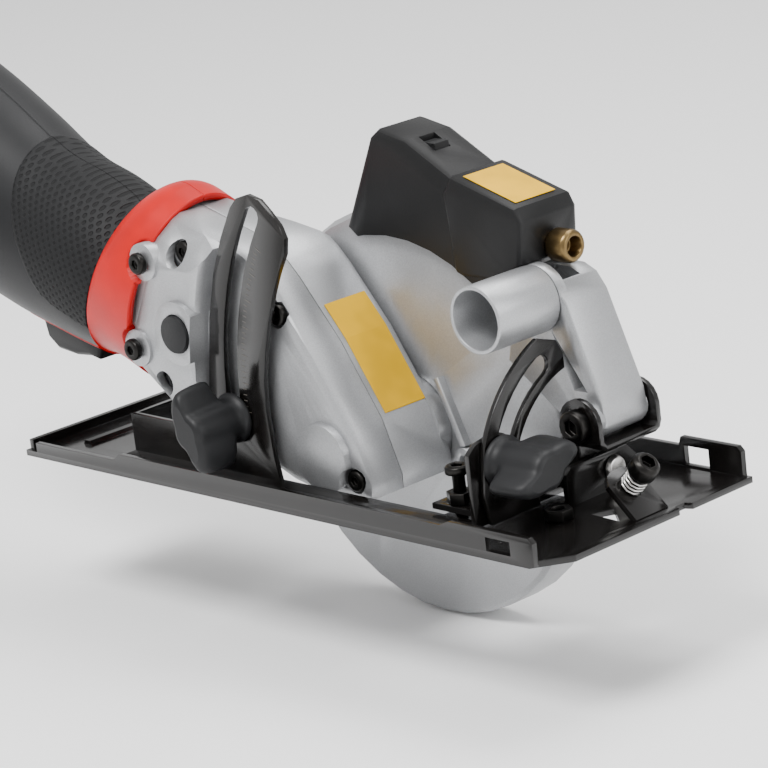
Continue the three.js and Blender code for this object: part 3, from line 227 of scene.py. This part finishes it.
def dimpled_rubber():
    """Rubber with staggered small dimples, laid out along the motor line; each dimple is darkened with painted
    shade.
    """
    base = (0.008, 0.0082, 0.0088)
    paint = Paint("dimpled_rubber", base, 0.6, specular=0.22)
    inputs = {"Vector": paint.place, "Location": (-104.0, 13.5, -13.5), "Rotation": (0.0, 0.0, 0.0)}
    turned = paint.zero.node("ShaderNodeMapping", 0, inputs)
    inputs = {"Vector": turned, "Angle": -TILT}
    back = paint.zero.node("ShaderNodeVectorRotate", 0, inputs, rotation_type="Y_AXIS")
    parts = paint.tree.nodes.new("ShaderNodeSeparateXYZ")
    back.into(parts.inputs[0])
    along = Wire(paint.tree, parts.outputs[0])
    up = Wire(paint.tree, parts.outputs[2])
    pitch = 3.1

    def grid(shift):
        u = (along / pitch + shift).math("FRACT") - 0.5
        v = (up / pitch + shift).math("FRACT") - 0.5
        return (u * u + v * v).math("SQRT")

    near = grid(0.0).math("MINIMUM", grid(0.5))
    # dimple mask: shapes the dimples in the bump and roughness, and carries the painted shade in the colour
    dimple_and_shade = near.ramp(0.26, 0.15)
    fine = paint.noise(2.5, 2.0)
    cloud = paint.noise(0.05, 2.0)
    # painted shade: inside the dimples the base colour falls to 0.55 of the rubber's, standing in for the shade in
    # the recesses
    paint.set("Base Color", paint.mix(dimple_and_shade, tone(base, 1.0), tone(base, 0.55)))
    paint.set("Roughness", 0.6 + (cloud - 0.5) * 0.12 + dimple_and_shade * 0.1)
    paint.bump(fine * 0.06 - dimple_and_shade, 0.35 * MM)
    return paint


paints = {
    "black_steel": black_steel(),
    "cast_silver": cast_silver(),
    "bright_steel": brushed("bright_steel", (0.62, 0.61, 0.59), 0.3),
    "dark_screw": brushed("dark_screw", (0.022, 0.021, 0.020), 0.36),
    "grey_plastic": worn("grey_plastic", (0.0085, 0.0087, 0.0095), 0.48, 1.6, specular=0.25),
    "rubber": dimpled_rubber(),
    "red_plastic": worn("red_plastic", (0.46, 0.0006, 0.0006), 0.4, 1.2, specular=0.25),
    "black_plastic": worn("black_plastic", (0.0042, 0.0042, 0.0045), 0.44, 1.8, specular=0.25),
    "copper": brushed("copper", (0.62, 0.27, 0.14), 0.35),
    "brass": brushed("brass", (0.17, 0.115, 0.05), 0.34),
}
slot_of = {part["node"]: part["material_slot"] for part in frame["record"]["subparts"]}


# ---------------------------------------------------------------- pieces taken over from the part
def new_piece(name, bm, paint, body, nodes=()):
    """An object at the origin from a bmesh in metres, riding on a body and standing for its nodes."""
    mesh = bpy.data.meshes.new(name)
    bm.to_mesh(mesh)
    bm.free()
    mesh.materials.append(paint.material)
    obj = bpy.data.objects.new(name, mesh)
    bpy.context.collection.objects.link(obj)
    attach(obj, body)
    if nodes:
        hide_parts(*nodes)
    return obj


def round_edges(obj, width, angle=32.0):
    """Rounds every edge sharper than the angle, by a width in millimetres."""
    edge = obj.modifiers.new("edge", "BEVEL")
    edge.width = width * MM
    edge.segments = 2
    edge.limit_method = "ANGLE"
    edge.angle_limit = math.radians(angle)
    edge.harden_normals = True


MERGE = 0.004 * MM  # corners nearer than this are one


def refined(node_name, width):
    """The node's own shape with merged corners, whole faces, smooth shading and rounded edges."""
    bm = bmesh.new()
    bm.from_mesh(frame["nodes"][node_name].data)
    bmesh.ops.remove_doubles(bm, verts=bm.verts, dist=MERGE)
    bmesh.ops.dissolve_degenerate(bm, edges=bm.edges, dist=MERGE)
    bmesh.ops.recalc_face_normals(bm, faces=bm.faces)
    bmesh.ops.dissolve_limit(bm, angle_limit=math.radians(1.5), verts=bm.verts, edges=bm.edges)
    for face in bm.faces:
        face.smooth = True
    slot = slot_of[node_name]
    obj = new_piece(node_name + "_fine", bm, paints[slot], body_of[node_name], [node_name])
    round_edges(obj, width)


bodies = frame["record"]["behaviour"]["bodies"]
body_of = {node: body for body, nodes in bodies.items() for node in nodes}
# nodes that get a new shape further down
shaped = {"handle_near", "handle_far", "grip_near", "grip_far", "collar_near", "collar_far",
          "depth_knob", "bevel_knob"}
# edge widths in millimetres, where they differ from the usual one
USUAL_EDGE = 0.3
edge_widths = {
    "carriage": 0.5, "upper_guard": 0.6, "laser_housing": 1.1, "trigger": 0.9,
    "gear_case_near": 0.45, "gear_case_far": 0.45, "base_plate": 0.4, "saw_blade": 0.1,
    "guide_clamp_spring": 0.0, "spindle_lock_spring": 0.0, "lower_guard_spring": 0.0,
}
for node_name in frame["nodes"]:
    if node_name not in shaped:
        refined(node_name, edge_widths.get(node_name, USUAL_EDGE))

# ---------------------------------------------------------------- handle, collar and grips
# ovals along the motor line: distance back, half-width, half-height, centre
HANDLE = [
    (106.3, 23.5, 26.0, 1.5), (116, 25, 28.4, 2), (130, 26, 29.8, 1.2), (150, 26.8, 30.4, -0.8),
    (178, 28.2, 33, 0.8), (205, 28.2, 33, 4), (228, 25.8, 29.8, 8), (243, 21, 24, 10.5),
    (250, 15, 17, 11.5),
]
COLLAR = (26.5, 34.5, 12.8)
COLLAR_ENDS = (84.0, 106.0)
SHOULDER = 90.5  # where the collar starts to roll over
SEAM = 0.15  # half the gap between the two halves
LUGS = ((83.5, 29.0), (80.0, -1.5))  # screw lugs of the case that lap over the collar
LUG_ROOM = 6.6
UNDER_LUG = 20.0


def spline(table, at):
    """Smooth values of a table of (place, value, value...) rows at a place."""
    last = len(table) - 1
    i = max(k for k in range(last) if k == 0 or at >= table[k][0])
    p, q = table[i], table[i + 1]
    before, after = table[max(0, i - 1)], table[min(last, i + 2)]
    span = q[0] - p[0]
    t = min(1.0, max(0.0, (at - p[0]) / span))
    out = []
    for k in range(1, len(p)):
        slope_p = (q[k] - before[k]) / (q[0] - before[0]) * span
        slope_q = (after[k] - p[k]) / (after[0] - p[0]) * span
        out.append((2 * t ** 3 - 3 * t ** 2 + 1) * p[k] + (t ** 3 - 2 * t ** 2 + t) * slope_p
                   + (3 * t ** 2 - 2 * t ** 3) * q[k] + (t ** 3 - t ** 2) * slope_q)
    return out


def oval_point(ring, phi, lift):
    """Side and height of a point of an oval at an angle up from the side, raised by a lift."""
    a, b, v = ring
    return (a + lift) * math.cos(phi), v + (b + lift) * math.sin(phi)


def handle_point(u, phi, side, lift=0.0):
    y, z = oval_point(spline(HANDLE, u), phi, lift)
    return LINE @ Vector((-u * MM, side * max(y, SEAM) * MM, z * MM))


def collar_point(u, phi, side):
    """The collar runs straight and then rolls over a full shoulder down to the handle."""
    y, z = oval_point(COLLAR, phi, 0.0)
    t = max(0.0, (u - SHOULDER) / (COLLAR_ENDS[1] - SHOULDER))
    roll = 1.0 - math.sqrt(max(0.0, 1.0 - t * t))
    inner_y, inner_z = oval_point(HANDLE[0][1:], phi, 0.4)
    y, z = y + (inner_y - y) * roll, z + (inner_z - z) * roll
    for back, up_line in LUGS:
        near = math.hypot(u - back, z - up_line)
        if side < 0 and near < LUG_ROOM:
            y = min(y, UNDER_LUG)
    return LINE @ Vector((-u * MM, side * max(y, SEAM) * MM, z * MM))


def sheet_of(rows, side):
    """Quads over rows of points, facing outwards."""
    bm = bmesh.new()
    grid = [[bm.verts.new(point) for point in row] for row in rows]
    for low, high in zip(grid, grid[1:]):
        for i in range(len(low) - 1):
            corners = (low[i], low[i + 1], high[i + 1], high[i])
            face = bm.faces.new(corners if side > 0 else corners[::-1])
            face.smooth = True
    return bm, grid


def thicken(obj, depth):
    """Gives a sheet a wall of this many millimetres, inwards."""
    wall = obj.modifiers.new("wall", "SOLIDIFY")
    wall.thickness = depth * MM
    wall.offset = -1.0
    wall.use_even_offset = False


def steps(start, end, count):
    """Evenly spaced values from start to end, both included."""
    return [start + (end - start) * i / count for i in range(count + 1)]


# round holes of the near half: distance back, height, radius
HOLES = ((222.0, 22.0, 3.4), (215.0, -12.0, 3.4), (178.0, 14.0, 5.4))
HOLE_INSIDE = 0.5  # points this far inside a rim are dropped
HOLE_OUTSIDE = 0.4  # points up to this far outside are moved onto the rim
TRIGGER_SLOT = (112.6, 144.4, 9.2)  # from, to, half-width
SHELL_WALL = 2.4


def handle_half(side, name, nodes):
    """One half of the handle, with its holes and the trigger opening cut out of the sheet."""
    phis = [math.radians(a) for a in steps(-90, 90, 120)]
    backs = steps(HANDLE[0][0], HANDLE[-1][0], 180)
    rows = [[handle_point(u, phi, side) for phi in phis] for u in backs]
    bm, grid = sheet_of(rows, -side)
    gone = set()
    for i, u in enumerate(backs):
        for j, phi in enumerate(phis):
            y, z = oval_point(spline(HANDLE, u), phi, 0.0)
            vert = grid[i][j]
            start, end, half = TRIGGER_SLOT
            if start < u < end and y < half and phi < 0:
                gone.add(vert)
            if side > 0:
                continue
            for back, high, radius in HOLES:
                away = math.hypot(u - back, z - high)
                if away < radius - HOLE_INSIDE:
                    gone.add(vert)
                elif away < radius + HOLE_OUTSIDE:
                    scale = radius / away
                    u_on, z_on = back + (u - back) * scale, high + (z - high) * scale
                    vert.co = LINE @ Vector((-u_on * MM, side * y * MM, z_on * MM))
    bmesh.ops.delete(bm, geom=list(gone), context="VERTS")
    tail = [vert for vert in grid[-1] if vert.is_valid]
    bm.faces.new(tail if side < 0 else tail[::-1])
    obj = new_piece(name, bm, paints["grey_plastic"], "head", nodes)
    thicken(obj, SHELL_WALL)


# where the rubber ends, as (angle round the handle, distance back)
BORDER = [
    (-25, 108.5), (-22, 116), (-19, 125), (-10, 132.5), (0, 137), (20, 146), (44, 154.5),
    (64, 158.5), (90, 160.5),
]
GRIP_FRONT = 106.6
GRIP_LIFT = 0.5
# the rolled edge of the rubber, as (share of the way back, lift)
EDGE = [(0.0, 0.5), (0.9, 0.5), (0.95, 0.42), (0.975, 0.25), (0.99, 0.0), (1.0, -0.9)]


def grip_panel(side, name, nodes):
    """The rubber panel from the collar back to its curved border, with a rolled edge."""
    flat = EDGE[1][0]
    rows = []
    for angle in steps(BORDER[0][0], BORDER[-1][0], 90):
        end = spline(BORDER, angle)[0]
        fall = GRIP_LIFT if angle > -24 else -0.6  # the lowest row is tucked under the surface
        row = []
        for part in steps(0.0, flat, 40) + [share for share, _ in EDGE[2:]]:
            lift = fall if part <= flat else min(fall, spline(EDGE, part)[0])
            back = GRIP_FRONT + (end - GRIP_FRONT) * part
            row.append(handle_point(back, math.radians(angle), side, lift))
        rows.append(row)
    bm, _ = sheet_of(rows, side)
    obj = new_piece(name, bm, paints["rubber"], "head", nodes)
    thicken(obj, 0.9)


def collar_half(side, name, nodes):
    """One half of the collar, with closer rows where it rolls over."""
    front, rear = COLLAR_ENDS
    rolled = [SHOULDER + (rear - SHOULDER) * math.sin(math.radians(a)) for a in steps(4, 90, 24)]
    backs = steps(front, SHOULDER, 16) + rolled
    phis = [math.radians(a) for a in steps(-90, 90, 150)]
    bm, _ = sheet_of([[collar_point(u, phi, side) for phi in phis] for u in backs], -side)
    obj = new_piece(name, bm, paints["red_plastic"], "head", nodes)
    thicken(obj, SHELL_WALL)


for side, word in ((-1, "near"), (1, "far")):
    handle_half(side, f"handle_{word}_shell", [f"handle_{word}"])
    grip_panel(side, f"grip_{word}_panel", [f"grip_{word}"])
    collar_half(side, f"collar_{word}_shell", [f"collar_{word}"])

# red trim along both edges of the trigger opening, as (angle round the handle, lift)
TRIM = ((-72.5, -0.6), (-72, 0.45), (-70, 0.7), (-67, 0.7), (-65, 0.45), (-64.5, -0.6))
for side, word in ((-1, "near"), (1, "far")):
    rows = [
        [handle_point(u, math.radians(a), side, lift) for a, lift in TRIM]
        for u in steps(112, 147, 30)
    ]
    bm, _ = sheet_of(rows, -side)
    trim = new_piece(f"trigger_trim_{word}", bm, paints["red_plastic"], "head")
    thicken(trim, 0.5)


# ---------------------------------------------------------------- winged knobs
# height, radius of the core, and how far the wings are out
KNOB_LEVELS = [
    (0.0, 8.2, 0.0), (1.2, 8.2, 0.0), (1.9, 7.6, 0.0), (2.6, 6.9, 0.0), (4.6, 6.8, 0.05),
    (5.6, 6.8, 0.35), (6.4, 6.8, 0.75), (7.4, 6.8, 0.95), (9.0, 6.8, 1.0), (13.0, 6.7, 1.0),
    (17.0, 6.5, 0.97), (18.8, 6.3, 0.93), (19.9, 5.9, 0.87), (20.6, 5.2, 0.79), (20.9, 4.3, 0.70),
]
WING_LENGTH = 7.5
WING_WIDTH = 0.42  # in radians
WING_SWAY = 0.22  # how far the tips lag behind, in radians


def wing_at(turn):
    """1 along either wing, falling softly to 0 between them."""
    off = [math.remainder(turn - centre, 2 * math.pi) / WING_WIDTH for centre in (0.0, math.pi)]
    return max(math.exp(-(share ** 2)) for share in off)


def winged_knob(node_name, joint_name, wings):
    """A moulded knob: a skirt, a waist and two soft wings that end in a rounded top."""
    joint = joint_of[joint_name]
    origin = Vector(joint["pos_m"])
    axis = Vector(joint["axis"])
    along = Vector(wings).normalized()
    across = axis.cross(along)
    rows = []
    for height, core, reach in KNOB_LEVELS:
        row = []
        for degrees in steps(0, 360, 120):
            turn = math.radians(degrees)
            wing = wing_at(turn)
            swayed = turn - WING_SWAY * wing * reach
            radius = (core + WING_LENGTH * wing * reach) * MM
            outward = along * math.cos(swayed) + across * math.sin(swayed)
            row.append(origin + axis * height * MM + radius * outward)
        rows.append(row)
    bm, grid = sheet_of(rows, 1)
    for ring in (grid[0][:-1], grid[-1][:-1]):
        bm.faces.new(ring).smooth = False
    bmesh.ops.remove_doubles(bm, verts=bm.verts, dist=0.002 * MM)
    bmesh.ops.recalc_face_normals(bm, faces=bm.faces)
    slot = slot_of[node_name]
    knob = new_piece(node_name + "_moulded", bm, paints[slot], body_of[node_name], [node_name])
    round_edges(knob, 0.5, 50)


winged_knob("depth_knob", "depth_knob_turn", (0.5, 0.0, -0.866))
winged_knob("bevel_knob", "bevel_knob_turn", (0.0, -0.883, -0.469))


# ---------------------------------------------------------------- plain yellow plates
PLATE = 0.3  # thickness


def plate(name, corners, normal):
    """A thin plate over a strip of corner pairs, in saw coordinates, raised along its normal."""
    bm = bmesh.new()
    lower = [[bm.verts.new(point) for point in pair] for pair in corners]
    faces = [bm.faces.new((a[0], a[1], b[1], b[0])) for a, b in zip(lower, lower[1:])]
    made = bmesh.ops.extrude_face_region(bm, geom=faces)
    tops = [item for item in made["geom"] if isinstance(item, bmesh.types.BMVert)]
    bmesh.ops.translate(bm, verts=tops, vec=normal * PLATE * MM)
    bmesh.ops.recalc_face_normals(bm, faces=bm.faces)
    obj = new_piece(name, bm, label_paint, "head")
    round_edges(obj, 0.12, 40)


label_paint = worn("label_yellow", (0.66, 0.37, 0.0), 0.45, 1.0, specular=0.2)
rim = [(-26.3, 36.6), (-14.8, 30.45), (7.0, 15.15)]
on_rim = [[LINE @ Vector((x * MM, y * MM, z * MM)) for y in (2.0, 19.5)] for x, z in rim]
plate("rim_label", on_rim, Vector((0.36, 0, 0.93)))
pad = [(138.5, 96.9), (160.0, 90.45)]
on_pad = [[Vector((x * MM, y * MM, z * MM)) for y in (11.5, 29.0)] for x, z in pad]
plate("laser_label", on_pad, Vector((0.29, 0, 0.957)))


# ---------------------------------------------------------------- depth scale stamped on the carriage arm
ARM_FACE = -31.8
TICK = {"from": 110.2, "short": 108.6, "long": 107.4, "half": 0.12, "proud": 0.03}
scale_paint = worn("scale_grey", (0.10, 0.09, 0.08), 0.5, 2.0)
pin = Vector(joint_of["depth"]["pos_m"]) / MM


def on_arm(radius, degrees):
    """A point of the arm, at a radius and an angle about the depth pin."""
    turn = math.radians(degrees)
    return pin.x + radius * math.cos(turn), pin.z + radius * math.sin(turn)


def depth_ticks():
    """One tick to a degree of travel, and a longer one at every fifth."""
    bm = bmesh.new()
    y = (ARM_FACE - TICK["proud"]) * MM
    for i in range(31):
        tip = TICK["short"] if i % 5 else TICK["long"]
        x0, z0 = on_arm(tip, 180 - i)
        x1, z1 = on_arm(TICK["from"], 180 - i)
        length = math.hypot(x1 - x0, z1 - z0)
        dx = -(z1 - z0) / length * TICK["half"]
        dz = (x1 - x0) / length * TICK["half"]
        corners = [(x0 - dx, z0 - dz), (x1 - dx, z1 - dz), (x1 + dx, z1 + dz), (x0 + dx, z0 + dz)]
        face = bm.faces.new([bm.verts.new((x * MM, y, z * MM)) for x, z in corners])
        face.normal_update()
    bmesh.ops.recalc_face_normals(bm, faces=bm.faces)
    new_piece("depth_ticks", bm, scale_paint, "carriage")


depth_ticks()

# ---------------------------------------------------------------- floor, light and camera
FLOOR_DROP = 0.0005
floor_mesh = bpy.data.meshes.new("floor")
bm = bmesh.new()
bmesh.ops.create_grid(bm, x_segments=1, y_segments=1, size=6.0)
bmesh.ops.translate(bm, verts=bm.verts, vec=(0, 0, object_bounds()[0][2] - FLOOR_DROP))
bm.to_mesh(floor_mesh)
bm.free()
floor = bpy.data.objects.new("floor", floor_mesh)
bpy.context.collection.objects.link(floor)
floor_paint = Paint("floor", (0.93, 0.93, 0.93), 0.6)
floor_mesh.materials.append(floor_paint.material)

world = bpy.data.worlds.new("studio")
world.use_nodes = True
world.node_tree.nodes["Background"].inputs[0].default_value = (1.0, 1.0, 1.0, 1.0)
world.node_tree.nodes["Background"].inputs[1].default_value = 1.0
bpy.context.scene.world = world


def lamp(name, place, aim, size, power):
    """A rectangular area light at a place, turned towards an aim."""
    light = bpy.data.lights.new(name, "AREA")
    light.shape = "RECTANGLE"
    light.size, light.size_y = size
    light.energy = power
    obj = bpy.data.objects.new(name, light)
    obj.location = place
    obj.rotation_euler = (Vector(aim) - Vector(place)).to_track_quat("-Z", "Y").to_euler()
    bpy.context.collection.objects.link(obj)


lamp("key", (0.25, -0.75, 1.25), (0.08, 0, 0.04), (0.55, 0.45), 24)
lamp("top", (0.2, 0.5, 1.3), (0.08, 0, 0.04), (0.9, 0.7), 14)
lamp("front", (1.3, 0.2, 0.5), (0.08, 0, 0.04), (0.7, 0.7), 7)

camera_data = bpy.data.cameras.new("camera")
camera_data.sensor_width = 36.0
camera_data.lens = 153.9
camera_data.clip_start = 0.05
camera_data.clip_end = 20.0
camera = bpy.data.objects.new("camera", camera_data)
azimuth, elevation, roll = (math.radians(a) for a in (48.02, 15.89, -6.8))
toward_camera = Vector((
    math.sin(azimuth) * math.cos(elevation),
    -math.cos(azimuth) * math.cos(elevation),
    math.sin(elevation),
))
right = (-toward_camera).cross(Vector((0, 0, 1))).normalized()
up = toward_camera.cross(right)
turn = Matrix((right, up, toward_camera)).transposed().to_4x4() @ Matrix.Rotation(roll, 4, "Z")
camera.matrix_world = Matrix.Translation((0.8451, -0.6664, 0.3133)) @ turn
bpy.context.collection.objects.link(camera)
bpy.context.scene.camera = camera
